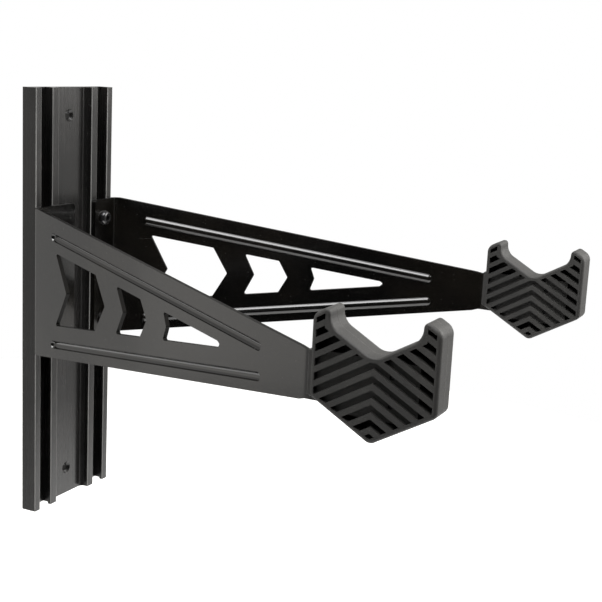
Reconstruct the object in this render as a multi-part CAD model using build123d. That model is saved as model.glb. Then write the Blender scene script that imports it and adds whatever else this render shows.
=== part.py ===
"""Bicycle wall rack: a slotted aluminium rail, two pressed steel arms and two rubber cradle pads.

Frame: X runs along the wall, to the right for a person who faces it. +Y points into the wall, so the
arms reach out towards -Y. +Z is up. The origin is on the wall plane, midway between the two wall
holes. The pieces are drawn with heights measured from the rail's bottom edge, and make_parts sets
the finished rack down on the origin. All sizes are in millimetres.
"""
import os
from math import cos, radians, sin, tan

from build123d import *

# --- rail ------------------------------------------------------------------------------------------
RAIL_WIDTH = 88.0
RAIL_DEPTH = 12.0
RAIL_LENGTH = 305.0
RAIL_CORNER = 1.0
SLOT_CENTRE = 32.0          # from the rail's middle to the middle of each T-slot
SLOT_MOUTH = 12.0
SLOT_CAVITY = 18.0
SLOT_LIP = 3.0
SLOT_FLOOR = 3.0
RECESS_WIDTH = 38.0
RECESS_DEPTH = 6.0
RECESS_FILLET = 3.6
WALL_HOLE_RADIUS = 2.75
WALL_HOLE_SINK_RADIUS = 4.6
WALL_HOLE_END = 20.0        # from each end of the rail
SINK_ANGLE = 90.0

# --- arms ------------------------------------------------------------------------------------------
SHEET = 3.0
SLIDE_GAP = 0.05            # running gap between the rail and what slides on it
ARM_SPLAY = 20.65           # plan angle between an arm's panel and a square line off the wall
ARM_ROOT = 47.1             # where the panel's outer face would meet the rail's front plane
FLANGE_BEND = 3.0           # inside radius of the bend at the flange
TAB_BEND = 8.0              # inside radius of the bend at the tab
FLANGE_EDGE = {"left": 4.0, "right": 20.7}     # each flange's free edge, from the rail's middle
FLANGE_BOTTOM = 120.0
FLANGE_TOP = 223.0
FLANGE_CORNER = 3.0
PANEL_TOP = 223.8           # panel edges where the panel meets the rail's front plane
PANEL_BOTTOM = 118.9
TOP_FALL = 0.1425           # slope of the panel's top edge, along the panel
BOTTOM_RISE = 0.1315
TAB_MIDDLE = 144.5          # from the rack's middle plane to the middle of each tab
TAB_HEIGHT = 27.0
TAB_CORNER = 4.0
TAB_END = 338.0             # from the wall

CENTRE_HEIGHT = 170.0       # height of the arms' centre line above the rail's bottom
ARROW_HEIGHT = 170.6        # height of the arrow cut-outs' points
ARROW_TOP_START = (30.5, 196.0)
ARROW_TOP_FALL = 0.135
ARROW_BOTTOM_START = (29.8, 145.7)
ARROW_BOTTOM_RISE = 0.128
ARROWS = (                  # tail corners, tail notch, head corners and head point, along the panel
    (30.0, 43.4, 78.6, 89.6),
    (102.5, 110.2, 128.9, 135.7),
    (152.8, 156.0, 205.5, 208.0),
)
ARROW_CORNER = 1.2

BEAD_HEIGHT = 2.0
BEAD_WIDTH = 6.5
BEAD_START = 27.0           # along the panel
BEAD_END = 243.0
BEADS = ((206.6, 0.1393), (132.0, -0.1280))    # height at the start, and fall along the panel

# --- fasteners -------------------------------------------------------------------------------------
BOLT_RADIUS = 3.0
BOLT_LENGTH = 10.0
BOLT_HEAD_RADIUS = 5.25
BOLT_HEAD_HEIGHT = 3.3
BOLT_SOCKET = 4.0           # across flats
BOLT_SOCKET_DEPTH = 2.0
BOLT_HOLE_RADIUS = 3.3
BOLT_HEIGHTS = {"upper": 209.0, "lower": 131.0}
NUT_BASE_WIDTH = 17.4
NUT_BASE_DEPTH = 5.4
NUT_NECK_WIDTH = 11.7
NUT_NECK_DEPTH = 2.6
NUT_LENGTH = 18.0
NUT_BORE_RADIUS = 3.05

# --- cradle pads -----------------------------------------------------------------------------------
PAD_THICKNESS = 19.0
PAD_MIDDLE = 316.2          # from the wall to the middle of the pad
PAD_HALF_WIDTH = 35.7
PAD_SHOULDER = 161.1        # height where the lower slopes start
PAD_HORN_SIDE = 204.9       # height where the horns' outer slopes start
NOTCH_HALF_WIDTH = 25.5
NOTCH_BOTTOM = 185.4
PAD_SLOPE = 30.0
PAD_CORNER = 4.5            # at the tip and the shoulders
NOTCH_FLOOR_CORNER = 9.0
NOTCH_WALL_CORNER = 11.5
HORN_SIDE_CORNER = 6.0
HORN_TIP_CORNER = 2.2
PAD_EDGE = 2.0              # rounding all round both faces
SLOT_PITCH = 7.7            # height from one chevron groove to the next
SLOT_HEIGHT = 4.2
FIRST_SLOT_TOP = 185.3      # at the pad's middle
SLOTS_ABOVE = 6
SLOTS_BELOW = 5
SLOT_MARGIN = 2.6
SLOT_DEPTH = 2.5            # where the grooves end on the sleeve
PAD_WEB = 2.0               # closes the grooves in the pad's middle plane
SLEEVE_START = 282.0        # from the wall
SLEEVE_END = 341.2
SLEEVE_BOTTOM = 153.8
SLEEVE_TOP = 186.0
COLLAR_STEP = 1.5           # how far the collar stands out from the pad's side, round the tab
COLLAR_LAP = 2.4            # how far it laps inside the pad's side
COLLAR_SINK = 0.7           # how far it lies below the pad's faces
POCKET_GAP = 0.1            # between the tab and the rubber, on each face
PIN_RADIUS = 1.5
PIN_LENGTH = 12.0
PIN_HOLE_GAP = 0.05
PIN_DISTANCE = 326.0        # from the wall
PIN_HEIGHTS = {"upper": 177.6, "lower": 162.2}

SIDES = {"left": -1, "right": 1}
DEEP = 400.0                # longer than any piece, for cutting


def rail_profile():
    """The rail's section in plan, drawn on XY, as cut from the extrusion."""
    section = Pos(0, -RAIL_DEPTH / 2) * Rectangle(RAIL_WIDTH, RAIL_DEPTH)
    section = fillet(section.vertices(), RAIL_CORNER)
    recess = Pos(0, -RAIL_DEPTH) * Rectangle(RECESS_WIDTH, 2 * RECESS_DEPTH)
    recess = fillet(recess.vertices(), RECESS_FILLET)
    section -= recess
    cavity_depth = RAIL_DEPTH - SLOT_LIP - SLOT_FLOOR
    for side in SIDES.values():
        middle = side * SLOT_CENTRE
        section -= Pos(middle, -SLOT_FLOOR - cavity_depth / 2) * Rectangle(SLOT_CAVITY, cavity_depth)
        section -= Pos(middle, -RAIL_DEPTH) * Rectangle(SLOT_MOUTH, 2 * SLOT_LIP + 1)
    return section


def make_rail():
    """Extruded rail with two T-slots, a sunk centre face and two countersunk wall holes."""
    rail = extrude(rail_profile(), RAIL_LENGTH)
    floor = -(RAIL_DEPTH - RECESS_DEPTH)
    sink_depth = (WALL_HOLE_SINK_RADIUS - WALL_HOLE_RADIUS) / tan(radians(SINK_ANGLE / 2))
    for height in (WALL_HOLE_END, RAIL_LENGTH - WALL_HOLE_END):
        face_frame = Plane((0, floor, height), x_dir=(1, 0, 0), z_dir=(0, 1, 0))
        rail -= face_frame * Cylinder(WALL_HOLE_RADIUS, DEEP)
        sink = Cone(WALL_HOLE_SINK_RADIUS, WALL_HOLE_RADIUS, sink_depth,
                    align=(Align.CENTER, Align.CENTER, Align.MIN))
        rail -= face_frame * sink
    return rail


def panel_plane():
    """Work plane on the right arm's outer face: X along the panel, Y up, Z towards the rack's middle."""
    splay = radians(ARM_SPLAY)
    along = (sin(splay), -cos(splay), 0)
    inward = (-cos(splay), -sin(splay), 0)
    return Plane((ARM_ROOT, -RAIL_DEPTH, 0), x_dir=along, z_dir=inward)


def arm_plan(side):
    """The right-hand arm's sheet seen from above: flange, panel and tab with their two bends."""
    splay = radians(ARM_SPLAY)
    back = -RAIL_DEPTH - SLIDE_GAP
    tab_outer = TAB_MIDDLE + SHEET / 2
    root = (ARM_ROOT - SLIDE_GAP * tan(splay), back)
    turn = (tab_outer, back - (tab_outer - root[0]) / tan(splay))
    outer = Polyline((FLANGE_EDGE[side], back), root, turn, (tab_outer, -TAB_END))
    sheet = make_face(offset(outer, SHEET, kind=Kind.INTERSECTION, side=Side.RIGHT))
    sheet = round_bend(sheet, root, FLANGE_BEND)
    return round_bend(sheet, turn, TAB_BEND)


def round_bend(sheet, corner, inner_radius):
    """Round the outer and the inner corner of one bend in the sheet's plan."""
    outer_corner = sheet.vertices().sort_by_distance(corner)[0]
    sheet = fillet(outer_corner, inner_radius + SHEET)
    sharp = [vertex for vertex in sheet.vertices() if is_mitre(vertex, corner)]
    return fillet(sharp, inner_radius)


def is_mitre(vertex, corner):
    """Whether a vertex is the inner corner of the bend whose outer corner is given."""
    reach = SHEET * 1.3
    return (vertex.X - corner[0]) ** 2 + (vertex.Y - corner[1]) ** 2 < reach ** 2


def arm_outline():
    """The arm seen from the side, on YZ: flange height, tapering panel and tab."""
    splay = cos(radians(ARM_SPLAY))
    bend = RAIL_DEPTH + (TAB_MIDDLE - ARM_ROOT) / tan(radians(ARM_SPLAY))
    run = (bend - RAIL_DEPTH) / splay
    root = RAIL_DEPTH + SHEET + 4
    root_run = (root - RAIL_DEPTH) / splay
    half_tab = TAB_HEIGHT / 2
    points = [
        (RAIL_DEPTH - 1, FLANGE_TOP),
        (root - 2, FLANGE_TOP),
        (root, PANEL_TOP - TOP_FALL * root_run),
        (bend, PANEL_TOP - TOP_FALL * run),
        (bend + 4, CENTRE_HEIGHT + half_tab),
        (TAB_END + 1, CENTRE_HEIGHT + half_tab),
        (TAB_END + 1, CENTRE_HEIGHT - half_tab),
        (bend + 4, CENTRE_HEIGHT - half_tab),
        (bend, PANEL_BOTTOM + BOTTOM_RISE * run),
        (root, PANEL_BOTTOM + BOTTOM_RISE * root_run),
        (root - 2, FLANGE_BOTTOM),
        (RAIL_DEPTH - 1, FLANGE_BOTTOM),
    ]
    return [(-distance, height) for distance, height in points]


def arrow_cutout(tail, notch, shoulder, point):
    """One arrow-shaped opening on the panel plane; its top and bottom follow the taper."""
    def top(run):
        return ARROW_TOP_START[1] - ARROW_TOP_FALL * (run - ARROW_TOP_START[0])

    def bottom(run):
        return ARROW_BOTTOM_START[1] + ARROW_BOTTOM_RISE * (run - ARROW_BOTTOM_START[0])

    corners = [
        (tail, bottom(tail)),
        (shoulder, bottom(shoulder)),
        (point, ARROW_HEIGHT),
        (shoulder, top(shoulder)),
        (tail, top(tail)),
        (notch, ARROW_HEIGHT),
    ]
    face = make_face(Polyline(*corners, close=True))
    return fillet(face.vertices(), ARROW_CORNER)


def bead(height, fall, radius, sink):
    """A round-ended bar along one stiffening bead, its axis sunk below the panel plane by sink."""
    length = BEAD_END - BEAD_START
    profile = make_face(
        Polyline((-radius, 0), (length + radius, 0))
        + RadiusArc((length + radius, 0), (length, radius), -radius)
        + Line((length, radius), (0, radius))
        + RadiusArc((0, radius), (-radius, 0), -radius)
    )
    bar = revolve(profile, Axis.X, 360)
    tilt = -fall
    direction = Vector(1, tilt, 0)
    frame = Plane((BEAD_START, height, sink), x_dir=direction, z_dir=(0, 0, 1))
    return panel_plane() * (frame * bar)


def arc_radius(width, height):
    """Radius of the arc with this chord and rise."""
    return width ** 2 / (8 * height) + height / 2


def make_arm(side):
    """One pressed arm: flange on the rail, pierced and beaded panel, tab for the pad."""
    blank = extrude(arm_plan(side), RAIL_LENGTH)
    side_face = make_face(Plane.YZ * Polyline(*arm_outline(), close=True))
    arm = blank & extrude(side_face, DEEP)
    for arrow in ARROWS:
        arm -= panel_plane() * extrude(arrow_cutout(*arrow), 3 * SHEET, both=True)
    groove_radius = arc_radius(BEAD_WIDTH - 1, BEAD_HEIGHT)
    ridge_radius = arc_radius(BEAD_WIDTH, BEAD_HEIGHT)
    inner_half = panel_plane() * (Pos(DEEP / 2, CENTRE_HEIGHT, SHEET / 2) * Box(
        DEEP, DEEP, SHEET * 3, align=(Align.CENTER, Align.CENTER, Align.MIN)))
    for height, fall in BEADS:
        ridge = bead(height, fall, ridge_radius, SHEET + BEAD_HEIGHT - ridge_radius)
        arm += ridge & inner_half
        arm -= bead(height, fall, groove_radius, BEAD_HEIGHT - groove_radius)
    for height in BOLT_HEIGHTS.values():
        hole = Plane((SLOT_CENTRE, -RAIL_DEPTH, height), z_dir=(0, -1, 0))
        arm -= hole * Cylinder(BOLT_HOLE_RADIUS, 4 * SHEET)
    for height in PIN_HEIGHTS.values():
        arm -= pin_frame(height) * Cylinder(PIN_RADIUS + PIN_HOLE_GAP, 4 * SHEET)
    arm = fillet(flange_corners(arm, side), FLANGE_CORNER)
    arm = fillet(tab_corners(arm), TAB_CORNER)
    return place(arm, side)


def flange_corners(arm, side):
    """The two short edges, across the sheet, at the flange's free end."""
    across = arm.edges().filter_by(Axis.Y)
    limit = FLANGE_EDGE[side] + 0.1
    return [edge for edge in across if (edge @ 0.5).X < limit]


def tab_corners(arm):
    """The two short edges, across the sheet, at the tab's free end."""
    across = arm.edges().filter_by(Axis.X)
    return [edge for edge in across if (edge @ 0.5).Y < -TAB_END + 0.1]


def place(solid, side):
    """Right-hand pieces stay as drawn; left-hand pieces are mirrored in the rack's middle plane."""
    return solid if side == "right" else mirror(solid, Plane.YZ)


def pin_frame(height):
    """Frame on the right tab's middle plane, looking along X, at one locking pin."""
    return Plane((TAB_MIDDLE, -PIN_DISTANCE, height), z_dir=(1, 0, 0))


def pad_outline(margin=0.0):
    """The pad's outline on YZ, drawn inside the real one by margin; distances are from the wall."""
    slope = tan(radians(PAD_SLOPE))
    inset = margin / cos(radians(PAD_SLOPE))
    half = PAD_HALF_WIDTH - margin
    tip = PAD_SHOULDER - PAD_HALF_WIDTH * slope + inset
    horn_line = PAD_HORN_SIDE + PAD_HALF_WIDTH * slope - inset
    notch = NOTCH_BOTTOM - inset
    notch_half = NOTCH_HALF_WIDTH + margin
    right = [
        (half, tip + half * slope),
        (half, horn_line - half * slope),
        (notch_half, horn_line - notch_half * slope),
        (notch_half, notch + notch_half * slope),
    ]
    left = [(-across, height) for across, height in reversed(right)]
    outline = [(0, tip)] + right + [(0, notch)] + left
    return [(-(PAD_MIDDLE + across), height) for across, height in outline]


def pad_face():
    """The pad's face with its corners rounded."""
    notch_wall = NOTCH_BOTTOM + NOTCH_HALF_WIDTH * tan(radians(PAD_SLOPE))
    rounds = (
        (0, PAD_SHOULDER + 1, PAD_CORNER),
        (NOTCH_BOTTOM - 1, NOTCH_BOTTOM + 1, NOTCH_FLOOR_CORNER),
        (notch_wall - 1, notch_wall + 1, NOTCH_WALL_CORNER),
        (PAD_HORN_SIDE - 1, PAD_HORN_SIDE + 1, HORN_SIDE_CORNER),
        (PAD_HORN_SIDE + 2, DEEP, HORN_TIP_CORNER),
    )
    sharp = make_face(Polyline(*pad_outline(), close=True))
    face = sharp
    for bottom, top, radius in rounds:
        corners = sharp.vertices().filter_by_position(Axis.Y, bottom, top)
        matching = [face.vertices().sort_by_distance(corner)[0] for corner in corners]
        face = fillet(matching, radius)
    return face


def chevron(top):
    """One chevron band across the pad, its peak's top edge at this height."""
    drop = tan(radians(PAD_SLOPE)) * PAD_HALF_WIDTH
    peak = [(0, top), (PAD_HALF_WIDTH, top - drop), (PAD_HALF_WIDTH, top - drop - SLOT_HEIGHT),
            (0, top - SLOT_HEIGHT), (-PAD_HALF_WIDTH, top - drop - SLOT_HEIGHT),
            (-PAD_HALF_WIDTH, top - drop)]
    return make_face(Polyline(*[(-(PAD_MIDDLE + across), height) for across, height in peak], close=True))


def pad_grooves():
    """All groove openings of one pad, as flat faces on XY that stand for YZ."""
    window = make_face(Polyline(*pad_outline(SLOT_MARGIN), close=True))
    faces = []
    for step in range(-SLOTS_BELOW, SLOTS_ABOVE + 1):
        band = chevron(FIRST_SLOT_TOP + step * SLOT_PITCH)
        for piece in (window & band).faces():
            if piece.area > 2:
                faces.append(piece)
    return faces


def slab(face, thickness):
    """A YZ-drawn face as a slab of this thickness, centred on the right pad's middle plane."""
    frame = Plane((TAB_MIDDLE, 0, 0), x_dir=(0, 1, 0), z_dir=(1, 0, 0))
    return frame * extrude(face, thickness / 2, both=True)


def block(near, far, bottom, top, thickness):
    """A box between two distances from the wall, centred on the right pad's middle plane."""
    face = Pos(-(near + far) / 2, (bottom + top) / 2) * Rectangle(far - near, top - bottom)
    return slab(face, thickness)


def make_collar():
    """The lip where the tab goes in: a strip up the pad's side, its foot in line with the slope."""
    side = PAD_MIDDLE - PAD_HALF_WIDTH
    start = side - COLLAR_STEP
    end = side + COLLAR_LAP
    slope = tan(radians(PAD_SLOPE))
    corners = [
        (-start, PAD_SHOULDER + COLLAR_STEP * slope),
        (-end, PAD_SHOULDER - COLLAR_LAP * slope),
        (-end, SLEEVE_TOP),
        (-start, SLEEVE_TOP),
    ]
    return slab(make_face(Polyline(*corners, close=True)), PAD_THICKNESS - 2 * COLLAR_SINK)


def make_pad(side):
    """One rubber cradle pad: notched slab, chevron grooves and a sleeve that takes the arm's tab."""
    whole = slab(pad_face(), PAD_THICKNESS)
    pad = fillet(whole.edges().group_by(Axis.X)[0] + whole.edges().group_by(Axis.X)[-1], PAD_EDGE)
    for face in pad_grooves():
        pad -= slab(face, PAD_THICKNESS + 2)
    sleeve = block(SLEEVE_START, SLEEVE_END, SLEEVE_BOTTOM, SLEEVE_TOP, PAD_THICKNESS - 2 * SLOT_DEPTH)
    pad += sleeve & whole
    pad += slab(pad_face(), PAD_WEB)
    pad += make_collar()
    half_tab = TAB_HEIGHT / 2 + 2 * POCKET_GAP
    pad -= block(0, TAB_END + POCKET_GAP, CENTRE_HEIGHT - half_tab,
                 CENTRE_HEIGHT + half_tab, SHEET + 2 * POCKET_GAP)
    for height in PIN_HEIGHTS.values():
        pad -= pin_frame(height) * Cylinder(PIN_RADIUS + PIN_HOLE_GAP, PAD_THICKNESS + 2)
    return place(pad, side)


def make_bolt(side, height):
    """Button-head socket screw that clamps a flange to its T-nut."""
    seat = -RAIL_DEPTH - SLIDE_GAP - SHEET
    frame = Plane((SLOT_CENTRE, seat, height), x_dir=(1, 0, 0), z_dir=(0, -1, 0))
    shank = Cylinder(BOLT_RADIUS, BOLT_LENGTH, align=(Align.CENTER, Align.CENTER, Align.MAX))
    head = Cylinder(BOLT_HEAD_RADIUS, BOLT_HEAD_HEIGHT, align=(Align.CENTER, Align.CENTER, Align.MIN))
    head = fillet(head.edges().group_by(Axis.Z)[-1], BOLT_HEAD_HEIGHT - 0.8)
    socket = extrude(RegularPolygon(BOLT_SOCKET / 2, 6, major_radius=False), -BOLT_SOCKET_DEPTH)
    bolt = head + shank - Pos(0, 0, BOLT_HEAD_HEIGHT) * socket
    return place(frame * bolt, side)


def make_t_nut(side, height):
    """T-nut in the rail's slot: a wide base behind the lips and a neck between them."""
    under_lip = -(RAIL_DEPTH - SLOT_LIP) + SLIDE_GAP
    base = Pos(SLOT_CENTRE, under_lip + NUT_BASE_DEPTH / 2, height) * Box(
        NUT_BASE_WIDTH, NUT_BASE_DEPTH, NUT_LENGTH)
    neck = Pos(SLOT_CENTRE, under_lip - NUT_NECK_DEPTH / 2, height) * Box(
        NUT_NECK_WIDTH, NUT_NECK_DEPTH, NUT_LENGTH)
    nut = base + neck
    frame = Plane((SLOT_CENTRE, under_lip, height), z_dir=(0, -1, 0))
    nut -= frame * Cylinder(NUT_BORE_RADIUS, DEEP / 10)
    return place(nut, side)


def make_pin(side, height):
    """Steel pin through the pad's sleeve and the tab."""
    return place(pin_frame(height) * Cylinder(PIN_RADIUS, PIN_LENGTH), side)


def make_parts():
    """Every node of the rack by name."""
    parts = {"rail": make_rail()}
    for side in SIDES:
        parts[f"{side}_arm"] = make_arm(side)
        parts[f"{side}_cradle_pad"] = make_pad(side)
        for level, height in BOLT_HEIGHTS.items():
            parts[f"{side}_{level}_clamp_bolt"] = make_bolt(side, height)
            parts[f"{side}_{level}_t_nut"] = make_t_nut(side, height)
        for level, height in PIN_HEIGHTS.items():
            parts[f"{side}_{level}_pad_pin"] = make_pin(side, height)
    to_origin = Pos(0, 0, -RAIL_LENGTH / 2)
    return {name: to_origin * part for name, part in parts.items()}


os.makedirs("parts", exist_ok=True)
for name, part in make_parts().items():
    export_step(part, f"parts/{name}.step")
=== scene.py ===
"""Looks for the bicycle wall rack: anodised rail, coated steel arms, moulded rubber cradle pads.

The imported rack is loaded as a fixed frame. The arms, the T-nuts and the pad pins keep their own shapes
and get a finish. The rail, the cradle pads and the clamp bolts are modelled again in finer detail.
All sizes are in metres.
"""

import logging
from dataclasses import dataclass
from enum import Enum
from math import cos, radians, sin, tan
from typing import Any, Callable, Iterable, Sequence

import bmesh
import bpy
from mathutils import Matrix, Vector

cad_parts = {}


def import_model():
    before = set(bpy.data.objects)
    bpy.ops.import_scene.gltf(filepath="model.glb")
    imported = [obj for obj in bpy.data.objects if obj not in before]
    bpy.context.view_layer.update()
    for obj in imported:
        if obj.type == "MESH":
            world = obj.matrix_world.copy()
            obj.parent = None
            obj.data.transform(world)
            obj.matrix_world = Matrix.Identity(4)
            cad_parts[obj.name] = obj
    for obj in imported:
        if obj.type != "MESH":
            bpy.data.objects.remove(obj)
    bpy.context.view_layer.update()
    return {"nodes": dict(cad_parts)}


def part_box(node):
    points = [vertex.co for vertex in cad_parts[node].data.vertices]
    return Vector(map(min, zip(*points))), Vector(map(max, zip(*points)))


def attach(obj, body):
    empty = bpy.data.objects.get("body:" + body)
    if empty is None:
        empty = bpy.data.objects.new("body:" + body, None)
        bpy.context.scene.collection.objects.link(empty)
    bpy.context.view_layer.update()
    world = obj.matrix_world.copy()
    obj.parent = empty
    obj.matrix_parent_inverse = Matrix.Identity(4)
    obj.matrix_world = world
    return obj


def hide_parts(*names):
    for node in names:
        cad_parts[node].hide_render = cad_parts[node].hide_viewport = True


log = logging.getLogger("wall_rack")


class Slot(Enum):
    """Material slots of the record."""

    RAIL = "anodised_rail"
    PAINT = "arm_paint"
    RUBBER = "pad_rubber"
    BOLT = "black_bolt"
    ZINC = "zinc_steel"


class Side(Enum):
    """The two arms, left and right for a person who faces the wall."""

    LEFT = "left"
    RIGHT = "right"

    @property
    def body(self) -> str:
        """The body that this side's pieces ride on."""
        return f"{self.value}_arm_assembly"


# --- shader nodes ----------------------------------------------------------------------------------
class NodeSheet:
    """One node tree, with short calls that fill it."""

    def __init__(self, tree: bpy.types.NodeTree) -> None:
        """Take over a tree.

        Args:
            tree: The node tree to fill.
        """
        self.tree = tree

    def add(self, kind: str, **settings: Any) -> bpy.types.Node:
        """Add one node.

        Args:
            kind: The node's type name.
            settings: Properties to set on the node.

        Returns:
            The new node.
        """
        node = self.tree.nodes.new(kind)
        for name, value in settings.items():
            setattr(node, name, value)
        return node

    def feed(self, source: Any, target: bpy.types.NodeSocket) -> None:
        """Link a socket to another, or set a plain value on it.

        Args:
            source: An output socket, or a value.
            target: The input socket.
        """
        if isinstance(source, bpy.types.NodeSocket):
            self.tree.links.new(source, target)
        else:
            target.default_value = source

    def math(self, operation: str, *values: Any) -> bpy.types.NodeSocket:
        """Add a Math node.

        Args:
            operation: The node's operation.
            values: Its inputs, in order.

        Returns:
            The node's output.
        """
        node = self.add("ShaderNodeMath", operation=operation)
        for value, socket in zip(values, node.inputs):
            self.feed(value, socket)
        return node.outputs[0]

    def times(self, first: Any, second: Any) -> bpy.types.NodeSocket:
        """Multiply two values."""
        return self.math("MULTIPLY", first, second)

    def plus(self, first: Any, second: Any) -> bpy.types.NodeSocket:
        """Add two values."""
        return self.math("ADD", first, second)

    def ramp(self, value: Any, low: float, high: float, start: float, end: float) -> bpy.types.NodeSocket:
        """Map a value smoothly from one range to another.

        Args:
            value: The value to map.
            low: Where the change starts.
            high: Where it ends.
            start: Result at low.
            end: Result at high.

        Returns:
            The mapped value.
        """
        node = self.add("ShaderNodeMapRange", interpolation_type="SMOOTHSTEP")
        for name, number in zip(("From Min", "From Max", "To Min", "To Max"), (low, high, start, end)):
            self.feed(number, node.inputs[name])
        self.feed(value, node.inputs["Value"])
        return node.outputs["Result"]

    def mix(self, mask: Any, first: Any, second: Any) -> bpy.types.NodeSocket:
        """Mix two colours.

        Args:
            mask: 0 for the first colour, 1 for the second.
            first: One colour.
            second: The other colour.

        Returns:
            The mixed colour.
        """
        node = self.add("ShaderNodeMix", data_type="RGBA")
        self.feed(mask, node.inputs[0])
        self.feed(first, node.inputs[6])
        self.feed(second, node.inputs[7])
        return node.outputs[2]

    def split(self, vector: bpy.types.NodeSocket) -> bpy.types.bpy_prop_collection:
        """Split a vector.

        Args:
            vector: The vector.

        Returns:
            Its X, Y and Z as three outputs.
        """
        parts = self.add("ShaderNodeSeparateXYZ")
        self.feed(vector, parts.inputs[0])
        return parts.outputs


class GroupMaker:
    """Makes each shared surface effect once, as a shader node group."""

    def __init__(self) -> None:
        """Make the three groups."""
        self.mottle = self._make("mottle", {"Coordinates": "Vector", "Scale": "Float", "Low": "Float",
                                            "High": "Float"}, {"Mask": "Float"}, self._mottle)
        self.grain = self._make("grain", {"Coordinates": "Vector", "Stretch": "Vector",
                                          "Scale": "Float"}, {"Height": "Float"}, self._grain)
        self.specks = self._make("specks", {"Coordinates": "Vector", "Scale": "Float",
                                            "Radius": "Float"}, {"Mask": "Float"}, self._specks)

    @staticmethod
    def _make(name: str, inputs: dict[str, str], outputs: dict[str, str],
              fill: Callable[[NodeSheet, bpy.types.Node, bpy.types.Node], None]) -> bpy.types.NodeTree:
        """Make one group with named sockets.

        Args:
            name: The group's name.
            inputs: Kind of each input by name.
            outputs: Kind of each output by name.
            fill: Fills the group between its input and output nodes.

        Returns:
            The node group.
        """
        tree = bpy.data.node_groups.new(name, "ShaderNodeTree")
        for way, sockets in (("INPUT", inputs), ("OUTPUT", outputs)):
            for label, kind in sockets.items():
                tree.interface.new_socket(name=label, in_out=way, socket_type=f"NodeSocket{kind}")
        sheet = NodeSheet(tree)
        fill(sheet, sheet.add("NodeGroupInput"), sheet.add("NodeGroupOutput"))
        return tree

    @staticmethod
    def _mottle(sheet: NodeSheet, given: bpy.types.Node, result: bpy.types.Node) -> None:
        """Soft uneven patches: a mask from cloudy noise.

        Args:
            sheet: The group's node sheet.
            given: The group's input node.
            result: The group's output node.
        """
        noise = sheet.add("ShaderNodeTexNoise")
        noise.inputs["Detail"].default_value = 5.0
        noise.inputs["Roughness"].default_value = 0.58
        sheet.feed(given.outputs["Coordinates"], noise.inputs["Vector"])
        sheet.feed(given.outputs["Scale"], noise.inputs["Scale"])
        spread = sheet.add("ShaderNodeMapRange", interpolation_type="SMOOTHSTEP")
        sheet.feed(noise.outputs[0], spread.inputs["Value"])
        sheet.feed(given.outputs["Low"], spread.inputs["From Min"])
        sheet.feed(given.outputs["High"], spread.inputs["From Max"])
        sheet.feed(spread.outputs["Result"], result.inputs["Mask"])

    @staticmethod
    def _grain(sheet: NodeSheet, given: bpy.types.Node, result: bpy.types.Node) -> None:
        """Fine grain: noise on stretched coordinates, so it can run along a direction.

        Args:
            sheet: The group's node sheet.
            given: The group's input node.
            result: The group's output node.
        """
        stretched = sheet.add("ShaderNodeVectorMath", operation="MULTIPLY")
        sheet.feed(given.outputs["Coordinates"], stretched.inputs[0])
        sheet.feed(given.outputs["Stretch"], stretched.inputs[1])
        noise = sheet.add("ShaderNodeTexNoise")
        noise.inputs["Detail"].default_value = 3.0
        sheet.feed(stretched.outputs[0], noise.inputs["Vector"])
        sheet.feed(given.outputs["Scale"], noise.inputs["Scale"])
        sheet.feed(noise.outputs[0], result.inputs["Height"])

    @staticmethod
    def _specks(sheet: NodeSheet, given: bpy.types.Node, result: bpy.types.Node) -> None:
        """Sparse dust specks: a cell centre shows only where its own random colour is high.

        Args:
            sheet: The group's node sheet.
            given: The group's input node.
            result: The group's output node.
        """
        cells = sheet.add("ShaderNodeTexVoronoi")
        sheet.feed(given.outputs["Coordinates"], cells.inputs["Vector"])
        sheet.feed(given.outputs["Scale"], cells.inputs["Scale"])
        near = sheet.math("LESS_THAN", cells.outputs["Distance"], given.outputs["Radius"])
        parts = sheet.add("ShaderNodeSeparateColor")
        sheet.feed(cells.outputs["Color"], parts.inputs[0])
        chosen = sheet.math("GREATER_THAN", parts.outputs[0], 0.72)
        sheet.feed(sheet.math("MULTIPLY", near, chosen), result.inputs["Mask"])


class FinishSheet(NodeSheet):
    """The node tree of one material, with its Principled shader and the shared groups at hand."""

    def __init__(self, name: str, groups: GroupMaker) -> None:
        """Start a material.

        Args:
            name: The material's name.
            groups: The shared effects.
        """
        self.material = bpy.data.materials.new(name)
        self.material.use_nodes = True
        super().__init__(self.material.node_tree)
        self.shader = self.tree.nodes["Principled BSDF"]
        self.groups = groups
        coordinates = self.add("ShaderNodeTexCoord")
        self.place = coordinates.outputs["Object"]
        self.facing = coordinates.outputs["Normal"]

    def effect(self, group: bpy.types.NodeTree, **values: Any) -> bpy.types.NodeSocket:
        """Place a shared effect on the object's coordinates.

        Args:
            group: The effect's node group.
            values: Its inputs by name.

        Returns:
            The effect's output.
        """
        node = self.add("ShaderNodeGroup")
        node.node_tree = group
        self.feed(self.place, node.inputs["Coordinates"])
        for name, value in values.items():
            self.feed(value, node.inputs[name])
        return node.outputs[0]

    def bump(self, height: Any, distance: float, strength: float, normal: Any = None) -> bpy.types.NodeSocket:
        """Add a Bump node.

        Args:
            height: The height that it reads.
            distance: Height of a full step, in metres.
            strength: Share of the effect.
            normal: A normal to start from.

        Returns:
            The bumped normal.
        """
        node = self.add("ShaderNodeBump")
        self.feed(height, node.inputs["Height"])
        node.inputs["Distance"].default_value = distance
        node.inputs["Strength"].default_value = strength
        if normal is not None:
            self.feed(normal, node.inputs["Normal"])
        return node.outputs[0]

    def finish(self, **sockets: Any) -> bpy.types.Material:
        """Feed the shader's own sockets.

        Args:
            sockets: Values or sources by the socket's name, with _ for a space.

        Returns:
            The material.
        """
        for name, source in sockets.items():
            self.feed(source, self.shader.inputs[name.replace("_", " ")])
        return self.material


# --- finishes --------------------------------------------------------------------------------------
Shade = tuple[float, float, float, float]


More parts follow.
